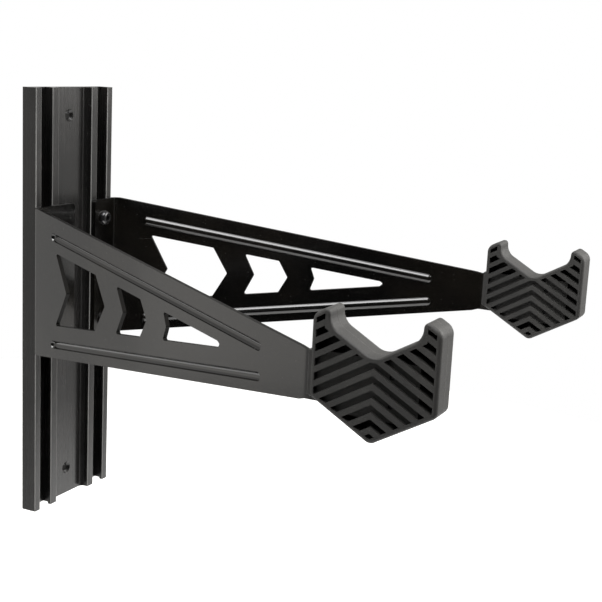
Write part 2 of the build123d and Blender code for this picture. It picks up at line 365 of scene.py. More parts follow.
@dataclass(frozen=True)
class BlackAnodising:
    """Black anodised extrusion: fine lines along the rail, soft cloudiness, dust, and a pale painted
    highlight on the front edges.
    """

    dark: Shade = (0.0035, 0.0035, 0.0036, 1.0)
    pale: Shade = (0.0085, 0.0080, 0.0075, 1.0)
    dust: Shade = (0.05, 0.049, 0.046, 1.0)
    # Pale colour painted on the front edges as their highlight.
    edge_highlight_tint: Shade = (0.17, 0.168, 0.163, 1.0)
    edge_depth: float = -0.0111

    def make(self, groups: GroupMaker) -> bpy.types.Material:
        """Build the material.

        Args:
            groups: The shared effects.

        Returns:
            The material.
        """
        sheet = FinishSheet("black_anodising", groups)
        lines = sheet.effect(groups.grain, Stretch=(1.0, 1.0, 0.012), Scale=1900.0)
        wide = sheet.effect(groups.grain, Stretch=(1.0, 1.0, 0.02), Scale=260.0)
        cloud = sheet.effect(groups.mottle, Scale=16.0, Low=0.35, High=0.7)
        dust = sheet.effect(groups.specks, Scale=420.0, Radius=0.10)
        tone = sheet.times(sheet.plus(cloud, wide), 0.5)
        colour = sheet.mix(dust, sheet.mix(tone, self.dark, self.pale), self.dust)
        # Painted highlight: the broken front edges get a pale colour that stands in for the light they catch.
        facing = sheet.split(sheet.facing)
        slant = sheet.math("ABSOLUTE", sheet.times(facing[0], facing[1]))
        front = sheet.math("LESS_THAN", sheet.split(sheet.place)[1], self.edge_depth)
        wear_and_edge_highlight = sheet.times(sheet.times(sheet.ramp(slant, 0.08, 0.3, 0.0, 1.0), front),
                           sheet.ramp(wide, 0.3, 0.6, 0.6, 1.0))
        colour = sheet.mix(wear_and_edge_highlight, colour, self.edge_highlight_tint)
        rough = sheet.plus(sheet.ramp(lines, 0.3, 0.7, 0.17, 0.26), sheet.times(cloud, 0.05))
        normal = sheet.bump(lines, 0.00002, 0.35)
        return sheet.finish(Base_Color=colour, Roughness=rough, Normal=normal, IOR=1.42, Metallic=0.0)


@dataclass(frozen=True)
class BlackEnamel:
    """Glossy black coating baked on pressed steel: orange peel, brown cloud, rubs, dull cut edges.

    A face counts as a cut edge where it turns away from the panel's broad sides and from the flange's.
    """

    base: Shade = (0.0008, 0.0008, 0.0008, 1.0)
    cloud: Shade = (0.0042, 0.0034, 0.0024, 1.0)
    rub: Shade = (0.018, 0.0175, 0.016, 1.0)
    cut_edge: Shade = (0.0056, 0.0054, 0.0051, 1.0)
    off_panel: tuple[float, float] = (0.36, 0.40)
    off_flange: tuple[float, float] = (0.945, 0.965)

    def make(self, groups: GroupMaker) -> bpy.types.Material:
        """Build the material.

        Args:
            groups: The shared effects.

        Returns:
            The material.
        """
        sheet = FinishSheet("black_enamel", groups)
        peel = sheet.effect(groups.grain, Stretch=(1.0, 1.0, 1.0), Scale=520.0)
        cloud = sheet.effect(groups.mottle, Scale=9.0, Low=0.42, High=0.72)
        rubs = sheet.effect(groups.grain, Stretch=(1.0, 1.0, 14.0), Scale=38.0)
        rubbed = sheet.times(sheet.ramp(rubs, 0.66, 0.74, 0.0, 1.0),
                             sheet.effect(groups.mottle, Scale=14.0, Low=0.5, High=0.62))
        dust = sheet.effect(groups.specks, Scale=330.0, Radius=0.09)
        marks = sheet.math("MAXIMUM", sheet.times(rubbed, 0.35), dust)
        facing = sheet.split(sheet.facing)
        cut = sheet.times(sheet.ramp(sheet.math("ABSOLUTE", facing[0]), *self.off_panel, 1.0, 0.0),
                          sheet.ramp(sheet.math("ABSOLUTE", facing[1]), *self.off_flange, 1.0, 0.0))
        colour = sheet.mix(marks, sheet.mix(cloud, self.base, self.cloud), self.rub)
        colour = sheet.mix(cut, colour, self.cut_edge)
        dull = sheet.math("MAXIMUM", sheet.times(marks, 0.30), sheet.times(cut, 0.40))
        rough = sheet.plus(sheet.ramp(peel, 0.35, 0.65, 0.13, 0.18),
                           sheet.plus(sheet.times(cloud, 0.07), dull))
        normal = sheet.bump(peel, 0.00006, 0.30)
        return sheet.finish(Base_Color=colour, Roughness=rough, Normal=normal, IOR=1.5, Metallic=cut,
                            Coat_Weight=sheet.ramp(cut, 0.0, 1.0, 0.15, 0.0), Coat_Roughness=0.06)


@dataclass(frozen=True)
class MouldedRubber:
    """Matt dark rubber: fine pitting, paler scuffs, and the mould's raised parting line on each pad's edge,
    with a painted highlight along it.
    """

    base: Shade = (0.0150, 0.0146, 0.0138, 1.0)
    scuff: Shade = (0.028, 0.027, 0.025, 1.0)
    # Pale colour painted on the parting line as its highlight, and also used for dust specks.
    line: Shade = (0.062, 0.059, 0.054, 1.0)
    parting_place: float = 0.1445
    parting_width: float = 0.00045

    def make(self, groups: GroupMaker) -> bpy.types.Material:
        """Build the material.

        Args:
            groups: The shared effects.

        Returns:
            The material.
        """
        sheet = FinishSheet("moulded_rubber", groups)
        pits = sheet.effect(groups.grain, Stretch=(1.0, 1.0, 1.0), Scale=1500.0)
        cloud = sheet.effect(groups.mottle, Scale=34.0, Low=0.4, High=0.68)
        scuffs = sheet.effect(groups.mottle, Scale=130.0, Low=0.56, High=0.66)
        dust = sheet.effect(groups.specks, Scale=520.0, Radius=0.12)
        across = sheet.math("ABSOLUTE", sheet.split(sheet.place)[0])
        from_line = sheet.math("ABSOLUTE", sheet.math("SUBTRACT", across, self.parting_place))
        parting = sheet.ramp(from_line, 0.0, self.parting_width, 1.0, 0.0)
        tone = sheet.math("MAXIMUM", sheet.times(cloud, 0.45), sheet.times(sheet.times(scuffs, cloud), 0.9))
        # Painted highlight: the parting line's ridge is coloured pale for the light it catches; dust specks
        # share the pale colour.
        pale = sheet.math("MAXIMUM", sheet.times(parting, 0.5), sheet.times(dust, 0.6))
        colour = sheet.mix(pale, sheet.mix(tone, self.base, self.scuff), self.line)
        rough = sheet.math("SUBTRACT", sheet.ramp(pits, 0.3, 0.7, 0.58, 0.72), sheet.times(scuffs, 0.06))
        normal = sheet.bump(parting, 0.00025, 1.0, sheet.bump(pits, 0.00009, 0.45))
        return sheet.finish(Base_Color=colour, Roughness=rough, Normal=normal, IOR=1.38, Metallic=0.0)


@dataclass(frozen=True)
class BlackOxide:
    """Black oxide on a steel screw: dark, oily, with a little bare metal showing through."""

    base: Shade = (0.030, 0.030, 0.031, 1.0)
    wear_and_edge_highlight: Shade = (0.22, 0.215, 0.205, 1.0)

    def make(self, groups: GroupMaker) -> bpy.types.Material:
        """Build the material.

        Args:
            groups: The shared effects.

        Returns:
            The material.
        """
        sheet = FinishSheet("black_oxide", groups)
        wear = sheet.effect(groups.mottle, Scale=900.0, Low=0.60, High=0.74)
        grain = sheet.effect(groups.grain, Stretch=(1.0, 1.0, 1.0), Scale=2600.0)
        colour = sheet.mix(wear, self.base, self.wear_and_edge_highlight)
        rough = sheet.ramp(grain, 0.3, 0.7, 0.20, 0.34)
        return sheet.finish(Base_Color=colour, Roughness=rough, Metallic=0.85,
                            Normal=sheet.bump(grain, 0.00002, 0.3))


@dataclass(frozen=True)
class ZincPlate:
    """Bright zinc plate on small steel parts: spangled grey with dull patches."""

    bright: Shade = (0.50, 0.51, 0.53, 1.0)
    dull: Shade = (0.27, 0.275, 0.28, 1.0)

    def make(self, groups: GroupMaker) -> bpy.types.Material:
        """Build the material.

        Args:
            groups: The shared effects.

        Returns:
            The material.
        """
        sheet = FinishSheet("zinc_plate", groups)
        patch = sheet.effect(groups.mottle, Scale=240.0, Low=0.38, High=0.66)
        grain = sheet.effect(groups.grain, Stretch=(1.0, 1.0, 1.0), Scale=2100.0)
        rough = sheet.plus(sheet.ramp(grain, 0.3, 0.7, 0.26, 0.38), sheet.times(patch, 0.14))
        return sheet.finish(Base_Color=sheet.mix(patch, self.bright, self.dull), Roughness=rough,
                            Metallic=1.0, Normal=sheet.bump(grain, 0.00002, 0.4))


class Paintbox:
    """Every finish as a material, by its slot."""

    def __init__(self) -> None:
        """Make the shared effects and the five materials."""
        groups = GroupMaker()
        self.materials = {
            Slot.RAIL: BlackAnodising().make(groups),
            Slot.PAINT: BlackEnamel().make(groups),
            Slot.RUBBER: MouldedRubber().make(groups),
            Slot.BOLT: BlackOxide().make(groups),
            Slot.ZINC: ZincPlate().make(groups),
        }

    def dress(self, piece: bpy.types.Object, slot: Slot) -> None:
        """Give a piece one finish over its whole surface.

        Args:
            piece: The piece.
            slot: The finish.
        """
        piece.data.materials.clear()
        piece.data.materials.append(self.materials[slot])


# --- mesh work -------------------------------------------------------------------------------------
class Workbench:
    """Turns bmesh work into pieces, and cuts one piece with another."""

    @staticmethod
    def piece(bm: bmesh.types.BMesh, name: str) -> bpy.types.Object:
        """Close up a bmesh and make an object from it.

        Args:
            bm: The finished bmesh. It is freed.
            name: The object's name.

        Returns:
            The object, at the origin.
        """
        bmesh.ops.remove_doubles(bm, verts=bm.verts, dist=1e-7)
        bmesh.ops.recalc_face_normals(bm, faces=bm.faces)
        mesh = bpy.data.meshes.new(name)
        bm.to_mesh(mesh)
        bm.free()
        made = bpy.data.objects.new(name, mesh)
        bpy.context.scene.collection.objects.link(made)
        return made

    @staticmethod
    def settle(piece: bpy.types.Object) -> bpy.types.Object:
        """Apply a piece's modifiers to its mesh.

        Args:
            piece: The piece.

        Returns:
            The same piece, with a plain mesh.
        """
        seen = piece.evaluated_get(bpy.context.evaluated_depsgraph_get())
        mesh = bpy.data.meshes.new_from_object(seen)
        piece.modifiers.clear()
        old, piece.data = piece.data, mesh
        bpy.data.meshes.remove(old)
        mesh.name = piece.name
        return piece

    @classmethod
    def cut(cls, piece: bpy.types.Object, tool: bpy.types.Object, operation: str = "DIFFERENCE") -> None:
        """Cut a piece with a tool, or join or cross them, and put the tool away.

        Args:
            piece: The piece that is changed.
            tool: The other solid. It is removed.
            operation: DIFFERENCE, UNION or INTERSECT.
        """
        work = piece.modifiers.new("cut", "BOOLEAN")
        work.operation = operation
        work.solver = "MANIFOLD"
        work.object = tool
        cls.settle(piece)
        bpy.data.objects.remove(tool)

    @classmethod
    def soften(cls, piece: bpy.types.Object, width: float, angle: float, segments: int = 2) -> None:
        """Round every edge that is sharper than an angle.

        Args:
            piece: The piece.
            width: Width of the rounding.
            angle: Smallest angle that is rounded, in degrees.
            segments: Steps across the rounding.
        """
        work = piece.modifiers.new("soften", "BEVEL")
        work.width = width
        work.segments = segments
        work.limit_method = "ANGLE"
        work.angle_limit = radians(angle)
        cls.settle(piece)

    @classmethod
    def smooth(cls, piece: bpy.types.Object, angle: float) -> None:
        """Shade a piece smoothly, with creases where it turns by more than an angle.

        Args:
            piece: The piece.
            angle: Smallest angle that stays a crease, in degrees.
        """
        piece.data.shade_smooth()
        piece.data.set_sharp_from_angle(angle=radians(angle))
        work = piece.modifiers.new("even", "WEIGHTED_NORMAL")
        work.keep_sharp = True
        work.weight = 100
        cls.settle(piece)


@dataclass
class Corner:
    """One corner of a pad's outline: across from the middle, up from the rail's bottom, radius, turn."""

    across: float
    up: float
    radius: float
    turn: float


@dataclass
class CradlePad:
    """One moulded rubber pad: notched slab with crowned edges, chevron grooves, sleeve and collar."""

    side: Side
    thickness: float = 0.0190
    half_width: float = 0.0357
    shoulder: float = 0.1611
    horn_side: float = 0.2049
    notch_half_width: float = 0.0255
    notch_bottom: float = 0.1854
    slope: float = 30.0
    corner_radius: float = 0.0045
    corner_steps: int = 8
    horn_side_radius: float = 0.0060
    horn_tip_radius: float = 0.0030
    notch_wall_radius: float = 0.0088
    notch_floor_radius: float = 0.0090
    division: float = 0.0025
    crown: float = 0.0022
    notch_crown: float = 0.0013
    least_crown: float = 0.0011
    tip_share: float = 0.44
    crown_steps: int = 7
    crown_blends: int = 4
    web: float = 0.0020
    slot_pitch: float = 0.0077
    slot_height: float = 0.0042
    first_slot_top: float = 0.1853
    slots_above: int = 6
    slots_below: int = 5
    slot_margin: float = 0.0026
    slot_corner: float = 0.0005
    least_slot: float = 2.0e-6
    sleeve: tuple[float, float, float, float] = (-0.0342, 0.0250, 0.1538, 0.1860)
    sleeve_thickness: float = 0.0140
    collar_step: float = 0.0015
    collar_lap: float = 0.0024
    collar_sink: float = 0.0007
    collar_round: float = 0.0006
    pocket: tuple[float, float, float] = (0.0219, 0.1563, 0.1837)
    pocket_thickness: float = 0.0032
    pin_across: float = 0.0098
    pin_heights: tuple[float, float] = (0.1776, 0.1622)
    pin_hole_radius: float = 0.00155
    past: float = 0.002
    reach: float = 0.020

    @property
    def rise(self) -> float:
        """Height gained per length across, along the pad's slopes."""
        return tan(radians(self.slope))

    def corners(self, margin: float) -> list[Corner]:
        """The outline's corners in order, drawn inside the real outline by a margin.

        Args:
            margin: Distance inside the outline.

        Returns:
            The corners, from the tip round past the right-hand horn and back.
        """
        inset = margin / cos(radians(self.slope))
        half = self.half_width - margin
        notch_half = self.notch_half_width + margin
        tip = self.shoulder - self.half_width * self.rise + inset
        horn = self.horn_side + self.half_width * self.rise - inset
        notch = self.notch_bottom - inset
        flat, steep, sharp = 2 * self.slope, 90 - self.slope, 90 + self.slope
        right = [
            Corner(half, tip + half * self.rise, self.corner_radius, steep),
            Corner(half, horn - half * self.rise, self.horn_side_radius, steep),
            Corner(notch_half, horn - notch_half * self.rise, self.horn_tip_radius, sharp),
            Corner(notch_half, notch + notch_half * self.rise, self.notch_wall_radius, steep),
        ]
        left = [Corner(-c.across, c.up, c.radius, c.turn) for c in reversed(right)]
        foot = Corner(0, tip, self.corner_radius, flat)
        return [foot] + right + [Corner(0, notch, self.notch_floor_radius, flat)] + left

    @staticmethod
    def prism(bm: bmesh.types.BMesh, points: Iterable[tuple[float, float]], thickness: float) -> None:
        """Extrude a flat outline to both sides of the pad's middle plane.

        Args:
            bm: The bmesh to work in.
            points: Corners as (across, up).
            thickness: The prism's thickness.
        """
        face = bm.faces.new([bm.verts.new((-thickness / 2, -across, up)) for across, up in points])
        grown = bmesh.ops.extrude_face_region(bm, geom=[face])["geom"]
        raised = [v for v in grown if isinstance(v, bmesh.types.BMVert)]
        bmesh.ops.translate(bm, verts=raised, vec=(thickness, 0, 0))

    def rounded_face(self, bm: bmesh.types.BMesh) -> bmesh.types.BMFace:
        """Draw the outline as one flat face with its corners rounded and its long sides divided.

        Args:
            bm: The bmesh to work in.

        Returns:
            The face, on the middle plane.
        """
        corners = self.corners(0.0)
        verts = [bm.verts.new((0, -c.across, c.up)) for c in corners]
        bm.faces.new(verts)
        for vert, corner in zip(verts, corners):
            bmesh.ops.bevel(bm, geom=[vert], offset=corner.radius * tan(radians(corner.turn / 2)),
                            offset_type="OFFSET", segments=self.corner_steps, profile=0.5, affect="VERTICES",
                            clamp_overlap=False, material=-1)
        for edge in [e for e in bm.edges if e.calc_length() > 2 * self.division]:
            bmesh.ops.bisect_edges(bm, edges=[edge], cuts=int(edge.calc_length() / self.division))
        bm.faces.ensure_lookup_table()
        return bm.faces[0]

    def rounding(self, point: Vector) -> float:
        """Radius of the rim's rounding at a point of the outline.

        Args:
            point: The point.

        Returns:
            The radius.
        """
        across, up = abs(point.y), point.z
        beside, under = 0.0004, 0.0040
        notch_line = self.notch_bottom + across * self.rise
        in_notch = across < self.notch_half_width + beside and up > notch_line - under
        crown = self.notch_crown if in_notch else self.crown
        tip_up = self.horn_side + (self.half_width - self.notch_half_width) * self.rise
        from_tip = ((across - self.notch_half_width) ** 2 + (up - tip_up) ** 2) ** 0.5
        return max(self.least_crown, min(crown, self.tip_share * from_tip))

    def stations(self, face: bmesh.types.BMFace) -> list[tuple[Vector, Vector, float]]:
        """What the rim does at each point of the outline.

        Args:
            face: The flat outline.

        Returns:
            Each point, the way into the pad there, and the rounding's radius.
        """
        points = [vert.co.copy() for vert in face.verts]
        count = len(points)
        radii = [self.rounding(point) for point in points]
        for _ in range(self.crown_blends):
            radii = [(radii[i - 1] + 2 * radii[i] + radii[(i + 1) % count]) / 4 for i in range(count)]
        found = []
        for i, point in enumerate(points):
            ways = []
            for start, end in ((points[i - 1], point), (point, points[(i + 1) % count])):
                run = (end - start).normalized()
                ways.append(face.normal.cross(run))
            inward = (ways[0] + ways[1]) / (1 + ways[0].dot(ways[1]))
            found.append((point, inward, radii[i]))
        return found

    def body(self) -> bpy.types.Object:
        """Model the slab with its crowned rims: half of it grown from the middle plane, then mirrored.

        Returns:
            The slab.
        """
        bm = bmesh.new()
        top = self.rounded_face(bm)
        bm.normal_update()
        stations = self.stations(top)
        number = bm.verts.layers.int.new("station")
        for index, vert in enumerate(top.verts):
            vert[number] = index
        for step in range(self.crown_steps + 1):
            turn = radians(90 * step / self.crown_steps)
            grown = bmesh.ops.extrude_face_region(bm, geom=[top])["geom"]
            bmesh.ops.delete(bm, geom=[top], context="FACES_ONLY")
            top = next(item for item in grown if isinstance(item, bmesh.types.BMFace))
            for vert in top.verts:
                point, inward, radius = stations[vert[number]]
                vert.co = point + inward * radius * (1 - cos(turn))
                vert.co.x = self.thickness / 2 - radius * (1 - sin(turn))
        bmesh.ops.mirror(bm, geom=bm.verts[:] + bm.edges[:] + bm.faces[:], axis="X", merge_dist=1e-6)
        return Workbench.piece(bm, "pad_slab")

    def window(self) -> list[tuple[float, float]]:
        """Work out the outline that the grooves stay inside, with an arc under the notch's floor.

        Returns:
            Its corners as (across, up).
        """
        corners = self.corners(self.slot_margin)
        radius = self.notch_floor_radius + self.slot_margin
        points = []
        for corner in corners:
            if corner.across == 0 and corner.up > self.shoulder:
                middle = corner.up + radius / cos(radians(self.slope))
                half = self.corner_steps // 2
                turns = [radians(self.slope * step / half) for step in range(half, -half - 1, -1)]
                points += [(radius * sin(turn), middle - radius * cos(turn)) for turn in turns]
            else:
                points.append((corner.across, corner.up))
        return points

    def grooves(self) -> bpy.types.Object:
        """Model the chevron grooves as one cutting tool, shallow over the sleeve and closed by the web.

        Returns:
            The cutting tool.
        """
        bm = bmesh.new()
        drop = self.rise * self.half_width
        for step in range(-self.slots_below, self.slots_above + 1):
            top = self.first_slot_top + step * self.slot_pitch
            low = top - self.slot_height
            half = self.half_width
            self.prism(bm, [(0, top), (half, top - drop), (half, low - drop), (0, low),
                            (-half, low - drop), (-half, top - drop)], self.thickness + 2 * self.past)
        tool = Workbench.piece(bm, "groove_tool")
        window = bmesh.new()
        self.prism(window, self.window(), self.thickness + self.past)
        Workbench.cut(tool, Workbench.piece(window, "window"), "INTERSECT")
        self.drop_slivers(tool, self.least_slot)
        Workbench.soften(tool, self.slot_corner, angle=40)
        start, end, bottom, top = self.sleeve
        block = bmesh.new()
        self.prism(block, [(start, bottom), (end, bottom), (end, top), (start, top)], self.sleeve_thickness)
        Workbench.cut(tool, Workbench.piece(block, "sleeve_block"))
        web = bmesh.new()
        edge = self.half_width
        low, high = self.shoulder - edge, self.horn_side + edge
        self.prism(web, [(-edge, low), (edge, low), (edge, high), (-edge, high)], self.web)
        Workbench.cut(tool, Workbench.piece(web, "web_block"))
        return tool

    def drop_slivers(self, tool: bpy.types.Object, least: float) -> None:
        """Remove the loose bits of a cutting tool whose faces are too small to mould.

        Args:
            tool: The tool.
            least: Smallest area of a bit seen from the side.
        """
        bm = bmesh.new()
        bm.from_mesh(tool.data)
        left = set(bm.faces)
        while left:
            bit, edge_faces = set(), [next(iter(left))]
            while edge_faces:
                face = edge_faces.pop()
                if face in bit:
                    continue
                bit.add(face)
                edge_faces += [other for edge in face.edges for other in edge.link_faces if other not in bit]
            left -= bit
            if sum(f.calc_area() * abs(f.normal.x) for f in bit) / 2 < least:
                bmesh.ops.delete(bm, geom=list(bit), context="FACES")
        bmesh.ops.delete(bm, geom=[v for v in bm.verts if not v.link_faces], context="VERTS")
        bm.to_mesh(tool.data)
        bm.free()

    def collar(self) -> bpy.types.Object:
        """Model the lip where the tab goes in, a strip up the pad's wall side.

        Returns:
            The lip.
        """
        bm = bmesh.new()
        start = -self.half_width - self.collar_step
        end = -self.half_width + self.collar_lap
        foot = self.shoulder
        top = self.sleeve[3]
        outline = [(start, foot + self.collar_step * self.rise), (end, foot - self.collar_lap * self.rise),
                   (end, top), (start, top)]
        self.prism(bm, outline, self.thickness - 2 * self.collar_sink)
        lip = Workbench.piece(bm, "collar")
        Workbench.soften(lip, self.collar_round, angle=60, segments=3)
        return lip

    def pocket_tool(self) -> bpy.types.Object:
        """Model what the tab and its two pins take out of the pad.

        Returns:
            The cutting tool.
        """
        bm = bmesh.new()
        end, bottom, top = self.pocket
        far = -self.half_width - self.reach
        outline = [(far, bottom), (end, bottom), (end, top), (far, top)]
        self.prism(bm, outline, self.pocket_thickness)
        sideways = Matrix.Rotation(radians(90), 4, "Y")
        depth = self.thickness + self.reach
        for height in self.pin_heights:
            place = Matrix.Translation((0, -self.pin_across, height)) @ sideways
            bmesh.ops.create_cone(bm, cap_ends=True, segments=32, radius1=self.pin_hole_radius,
                                  radius2=self.pin_hole_radius, depth=depth, matrix=place)
        return Workbench.piece(bm, "pocket_tool")

    def build(self) -> bpy.types.Object:
        """Model the pad in place.

        Returns:
            The finished piece.
        """
        pad = self.body()
        Workbench.cut(pad, self.grooves())
        Workbench.cut(pad, self.collar(), "UNION")
        Workbench.cut(pad, self.pocket_tool())
        low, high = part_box(f"{self.side.value}_cradle_pad")
        rail_low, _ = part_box("rail")
        place = Vector(((low.x + high.x) / 2, low.y + self.half_width, rail_low.z))
        pad.data.transform(Matrix.Translation(place))
        pad.name = pad.data.name = f"{self.side.value}_moulded_pad"
        Workbench.smooth(pad, 32)
        return pad

    def fit(self, paints: Paintbox) -> bpy.types.Object:
        """Build the pad, dress it and set it on its body.

        Args:
            paints: The finishes.

        Returns:
            The piece.
        """
        pad = self.build()
        paints.dress(pad, Slot.RUBBER)
        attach(pad, self.side.body)
        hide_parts(f"{self.side.value}_cradle_pad")
        return pad


@dataclass
class ClampBolt:
    """One button-head socket screw."""

    side: Side
    level: str
    head_radius: float = 0.00525
    head_height: float = 0.0033
    dome: float = 0.0025
    shank_radius: float = 0.0030
    shank_length: float = 0.0100
    shank_chamfer: float = 0.0006
    socket_flats: float = 0.0040
    socket_depth: float = 0.0020
    socket_edge: float = 0.00018

    def build(self) -> bpy.types.Object:
        """Turn the screw, cut its socket and put it in place.

        Returns:
            The finished piece.
        """
        bm = bmesh.new()
        end, chamfer = -self.shank_length, self.shank_chamfer
        profile = [(0, end), (self.shank_radius - chamfer, end), (self.shank_radius, end + chamfer),
                   (self.shank_radius, 0),
                   (self.head_radius, 0), (self.head_radius, self.head_height), (0, self.head_height)]
        verts = [bm.verts.new((radius, 0, height)) for radius, height in profile]
        edges = [bm.edges.new(pair) for pair in zip(verts, verts[1:])]
        bmesh.ops.spin(bm, geom=verts + edges, axis=(0, 0, 1), cent=(0, 0, 0), angle=radians(360), steps=48,
                       use_merge=True, use_duplicate=False)
        bmesh.ops.remove_doubles(bm, verts=bm.verts, dist=1e-6)
        rim = [e for e in bm.edges if all(abs(v.co.z - self.head_height) < 1e-6
                                          and abs(v.co.xy.length - self.head_radius) < 1e-5 for v in e.verts)]
        bmesh.ops.bevel(bm, geom=rim, offset=self.dome, offset_type="OFFSET", segments=9, profile=0.5,
                        affect="EDGES", clamp_overlap=False, material=-1)
        bolt = Workbench.piece(bm, f"{self.side.value}_{self.level}_button_bolt")
        socket = bmesh.new()
        corner = self.socket_flats / 2 / cos(radians(30))
        top = Matrix.Translation((0, 0, self.head_height))
        bmesh.ops.create_cone(socket, cap_ends=True, segments=6, radius1=corner, radius2=corner,
                              depth=self.socket_depth * 2, matrix=top)
        Workbench.cut(bolt, Workbench.piece(socket, "socket"))
        Workbench.soften(bolt, self.socket_edge, angle=50)
        low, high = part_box(f"{self.side.value}_{self.level}_clamp_bolt")
        seat = low.y + self.head_height
        turn = Matrix.Translation(((low.x + high.x) / 2, seat, (low.z + high.z) / 2))
        bolt.data.transform(turn @ Matrix.Rotation(radians(90), 4, "X"))
        Workbench.smooth(bolt, 35)
        return bolt

    def fit(self, paints: Paintbox) -> bpy.types.Object:
        """Build the screw, dress it and set it on its body.

        Args:
            paints: The finishes.

        Returns:
            The piece.
        """
        bolt = self.build()
        paints.dress(bolt, Slot.BOLT)
        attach(bolt, self.side.body)
        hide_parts(f"{self.side.value}_{self.level}_clamp_bolt")
        return bolt


# --- sub-assemblies --------------------------------------------------------------------------------
@dataclass
class WallRail:
    """The slotted rail: an extrusion with broken edges, two T-slots and two countersunk wall holes."""

    width: float = 0.088
    depth: float = 0.012
    length: float = 0.305
    slot_middle: float = 0.032
    slot_mouth: float = 0.012
    slot_cavity: float = 0.018
    slot_lip: float = 0.003
    slot_floor: float = 0.003
    recess_width: float = 0.038
    recess_depth: float = 0.006
    recess_fillet: float = 0.0036
    broken_edge: float = 0.0006
    hole_radius: float = 0.00275
    sink_radius: float = 0.0046
    hole_from_end: float = 0.020
    hole_steps: int = 40
    past: float = 0.001

    def section(self) -> list[tuple[float, float]]:
        """Work out half of the rail's section.

        Returns:
            Points as (across, out), from the back's corner round to the sunk face's corner.
        """
        half, front = self.width / 2, -self.depth
        lip, floor = front + self.slot_lip, -self.slot_floor
        mouth = [self.slot_middle + side * self.slot_mouth / 2 for side in (1, -1)]
        cavity = [self.slot_middle + side * self.slot_cavity / 2 for side in (1, -1)]
        return [(half, 0), (half, front), (mouth[0], front), (mouth[0], lip), (cavity[0], lip),
                (cavity[0], floor), (cavity[1], floor), (cavity[1], lip), (mouth[1], lip), (mouth[1], front),
                (self.recess_width / 2, front), (self.recess_width / 2, front + self.recess_depth)]

    def extrusion(self, bottom: float) -> bmesh.types.BMesh:
        """Draw the whole section and run it up the wall.

        Args:
            bottom: Height of the rail's bottom end.

        Returns:
            The sharp-edged rail.
        """
        half = self.section()
        points = half + [(-across, out) for across, out in reversed(half)]
        bm = bmesh.new()
        face = bm.faces.new([bm.verts.new((across, out, bottom)) for across, out in points])
        grown = bmesh.ops.extrude_face_region(bm, geom=[face])["geom"]
        raised = [v for v in grown if isinstance(v, bmesh.types.BMVert)]
        bmesh.ops.translate(bm, verts=raised, vec=(0, 0, self.length))
        bmesh.ops.recalc_face_normals(bm, faces=bm.faces)
        return bm

    def round_edges(self, bm: bmesh.types.BMesh) -> None:
        """Round the sunk face's two inner corners, and break every outward edge along the rail.

        Args:
            bm: The sharp-edged rail.
        """
        corner = Vector((self.recess_width / 2, self.recess_depth - self.depth))
        upright = [e for e in bm.edges if e.calc_length() > self.length / 2]
        places = [Vector((abs(e.verts[0].co.x), e.verts[0].co.y)) for e in upright]
        inner = [e for e, place in zip(upright, places) if (place - corner).length < 1e-6]
        bmesh.ops.bevel(bm, geom=inner, offset=self.recess_fillet, offset_type="OFFSET", segments=8,
                        profile=0.5, affect="EDGES", clamp_overlap=False, material=-1)
        outer = [e for e in upright if e.is_valid and e.is_convex]
        bmesh.ops.bevel(bm, geom=outer, offset=self.broken_edge, offset_type="OFFSET", segments=3,
                        profile=0.5, affect="EDGES", clamp_overlap=False, material=-1)

    def hole_tool(self, heights: Iterable[float], radii: tuple[float, float],
                  reach: tuple[float, float]) -> bpy.types.Object:
        """Model a cone or cylinder square to the wall at each wall hole.

        Args:
            heights: The holes' heights.
            radii: Radius at the wall's end and at the front end.
            reach: Where the wall's end and the front end are along Y.

        Returns:
            The cutting tool.
        """
        back, front = reach
        square = Matrix.Rotation(radians(90), 4, "X")
        bm = bmesh.new()
        for height in heights:
            bmesh.ops.create_cone(bm, cap_ends=True, segments=self.hole_steps, radius1=radii[0],
                                  radius2=radii[1], depth=back - front,
                                  matrix=Matrix.Translation((0, (back + front) / 2, height)) @ square)
        return Workbench.piece(bm, "hole_tool")

    def build(self) -> bpy.types.Object:
        """Extrude the rail, break its edges, and drill and countersink its wall holes.

        Returns:
            The finished piece.
        """
        low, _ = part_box("rail")
        bm = self.extrusion(low.z)
        self.round_edges(bm)
        rail = Workbench.piece(bm, "slotted_rail")
        heights = (low.z + self.hole_from_end, low.z + self.length - self.hole_from_end)
        floor = self.recess_depth - self.depth
        through = (self.depth, -2 * self.depth)
        Workbench.cut(rail, self.hole_tool(heights, (self.hole_radius, self.hole_radius), through))
        sunk = (floor + self.sink_radius - self.hole_radius, floor - self.past)
        Workbench.cut(rail, self.hole_tool(heights, (self.hole_radius, self.sink_radius + self.past), sunk))
        Workbench.smooth(rail, 31)
        return rail

    def fit(self, paints: Paintbox) -> bpy.types.Object:
        """Build the rail, dress it and set it on its body.

        Args:
            paints: The finishes.

        Returns:
            The piece.
        """
        rail = self.build()
        paints.dress(rail, Slot.RAIL)
        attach(rail, "rail")
        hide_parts("rail")
        log.info("%s: %d faces", rail.name, len(rail.data.polygons))
        return rail


@dataclass
class ArmSet:
    """One arm with its pad, two clamp bolts, two T-nuts and two pad pins."""

    side: Side
    nodes: dict[str, bpy.types.Object]
    levels: tuple[str, str] = ("upper", "lower")

    def dress(self, paints: Paintbox) -> None:
        """Give the arm and its plain small parts their finishes.

        Args:
            paints: The finishes.
        """
        finishes = {f"{self.side.value}_arm": Slot.PAINT}
        for level in self.levels:
            finishes[f"{self.side.value}_{level}_t_nut"] = Slot.ZINC
            finishes[f"{self.side.value}_{level}_pad_pin"] = Slot.BOLT
        for name, slot in finishes.items():
            paints.dress(self.nodes[name], slot)
            log.info("%s: finished as %s", name, slot.value)

    def build(self, paints: Paintbox) -> None:
        """Model the pad and the bolts.

        Args:
            paints: The finishes.
        """
        pad = CradlePad(self.side).fit(paints)
        log.info("%s: %d faces", pad.name, len(pad.data.polygons))
        for level in self.levels:
            bolt = ClampBolt(self.side, level).fit(paints)
            log.info("%s: %d faces", bolt.name, len(bolt.data.polygons))


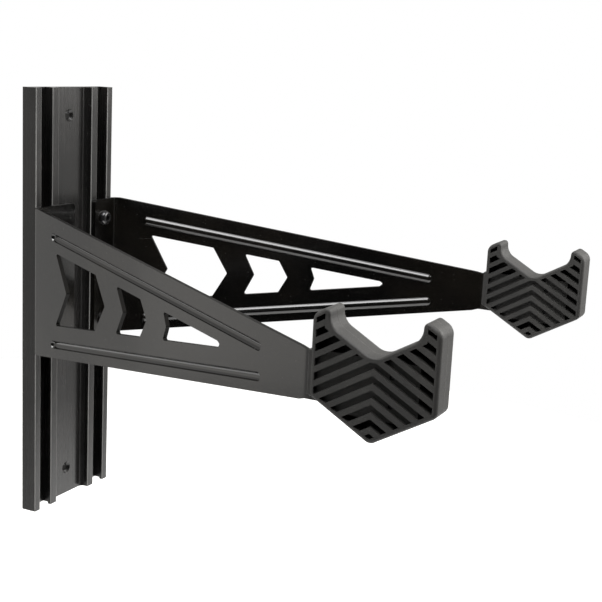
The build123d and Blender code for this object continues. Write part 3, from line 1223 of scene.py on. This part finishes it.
@dataclass
class SoftBox:
    """One rectangular studio light."""

    name: str
    place: tuple[float, float, float]
    aim: tuple[float, float, float]
    size: tuple[float, float]
    power: float
    shade: tuple[float, float, float] = (1.0, 1.0, 1.0)

    def hang(self) -> None:
        """Put the light up."""
        lamp = bpy.data.lights.new(self.name, "AREA")
        lamp.shape = "RECTANGLE"
        lamp.size, lamp.size_y = self.size
        lamp.energy = self.power
        lamp.color = self.shade
        box = bpy.data.objects.new(self.name, lamp)
        box.location = self.place
        box.rotation_euler = (Vector(self.aim) - Vector(self.place)).to_track_quat("-Z", "Y").to_euler()
        bpy.context.scene.collection.objects.link(box)


@dataclass
class Studio:
    """Pale floor, soft lights, a bright room with one dim side, and the camera."""

    floor_drop: float = 0.62
    floor_radius: float = 1.5
    floor_middle: tuple[float, float] = (0.55, 0.40)
    floor_shade: Shade = (0.86, 0.86, 0.86, 1.0)
    floor_glow: float = 0.35
    room: float = 0.80
    dim_side: tuple[float, float, float] = (-0.766, -0.643, -0.05)
    dim: float = 0.03
    dim_fade: tuple[float, float] = (0.32, 0.66)
    warm: Shade = (1.0, 0.985, 0.955, 1.0)
    white: Shade = (1.0, 1.0, 1.0, 1.0)
    camera_place: tuple[float, float, float] = (-0.69925, -0.54186, 0.18371)
    camera_turn: tuple[float, float, float] = (-63.806, 78.334, 2.815)
    lens: float = 71.595
    lights: Sequence[SoftBox] = (
        SoftBox("top_softbox", (-0.45, -0.25, 1.25), (0.0, -0.2, 0.0), (1.4, 1.0), 52.0),
        SoftBox("front_softbox", (0.95, -1.45, 0.75), (0.0, -0.2, 0.0), (1.5, 1.2), 52.0, (1.0, 0.985, 0.96)),
        SoftBox("back_softbox", (-1.05, 1.65, 0.05), (0.0, -0.1, 0.0), (1.0, 1.3), 2.6, (1.0, 0.96, 0.90)),
    )

    def build_floor(self) -> None:
        """A pale round floor well below the rack."""
        bm = bmesh.new()
        bmesh.ops.create_circle(bm, cap_ends=True, segments=96, radius=self.floor_radius,
                                matrix=Matrix.Translation((*self.floor_middle, -self.floor_drop)))
        floor = Workbench.piece(bm, "studio_floor")
        pale = bpy.data.materials.new("pale_floor")
        pale.use_nodes = True
        shader = pale.node_tree.nodes["Principled BSDF"]
        shader.inputs["Base Color"].default_value = self.floor_shade
        shader.inputs["Roughness"].default_value = 0.9
        shader.inputs["Emission Color"].default_value = self.white
        shader.inputs["Emission Strength"].default_value = self.floor_glow
        floor.data.materials.append(pale)

    def build_room(self) -> None:
        """Light from all round, dim on one side, and plain white where it is seen directly."""
        world = bpy.data.worlds.new("studio_room")
        world.use_nodes = True
        bpy.context.scene.world = world
        sheet = NodeSheet(world.node_tree)
        aim = sheet.add("ShaderNodeTexCoord").outputs["Generated"]
        dot = sheet.add("ShaderNodeVectorMath", operation="DOT_PRODUCT")
        sheet.feed(aim, dot.inputs[0])
        dot.inputs[1].default_value = Vector(self.dim_side).normalized()
        glow = sheet.ramp(dot.outputs["Value"], *self.dim_fade, self.room, self.dim)
        seen = sheet.add("ShaderNodeLightPath").outputs["Is Camera Ray"]
        strength = sheet.add("ShaderNodeMix", data_type="FLOAT")
        sheet.feed(seen, strength.inputs[0])
        sheet.feed(glow, strength.inputs[2])
        sheet.feed(1.0, strength.inputs[3])
        back = world.node_tree.nodes["Background"]
        sheet.feed(sheet.mix(seen, self.warm, self.white), back.inputs["Color"])
        sheet.feed(strength.outputs[0], back.inputs["Strength"])

    def build_camera(self) -> None:
        """The camera, level with the upper half of the rack and to the left of it."""
        lens = bpy.data.cameras.new("studio_camera")
        lens.lens = self.lens
        lens.sensor_width = 36.0
        lens.clip_start = 0.01
        camera = bpy.data.objects.new("studio_camera", lens)
        swing, tip, roll = (radians(angle) for angle in self.camera_turn)
        camera.matrix_world = (Matrix.Translation(self.camera_place) @ Matrix.Rotation(swing, 4, "Z")
                               @ Matrix.Rotation(tip, 4, "X") @ Matrix.Rotation(roll, 4, "Z"))
        bpy.context.scene.collection.objects.link(camera)
        bpy.context.scene.camera = camera

    def build(self) -> None:
        """Set up the whole studio."""
        self.build_camera()
        self.build_floor()
        self.build_room()
        for light in self.lights:
            light.hang()
        bpy.context.scene.view_settings.view_transform = "Standard"
        log.info("studio ready")


def main() -> None:
    """Load the frame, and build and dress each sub-assembly."""
    logging.basicConfig(level=logging.INFO, format="%(name)s: %(message)s")
    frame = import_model()
    Studio().build()
    paints = Paintbox()
    WallRail().fit(paints)
    for side in Side:
        arm = ArmSet(side, frame["nodes"])
        arm.dress(paints)
        arm.build(paints)


if __name__ == "__main__":
    main()
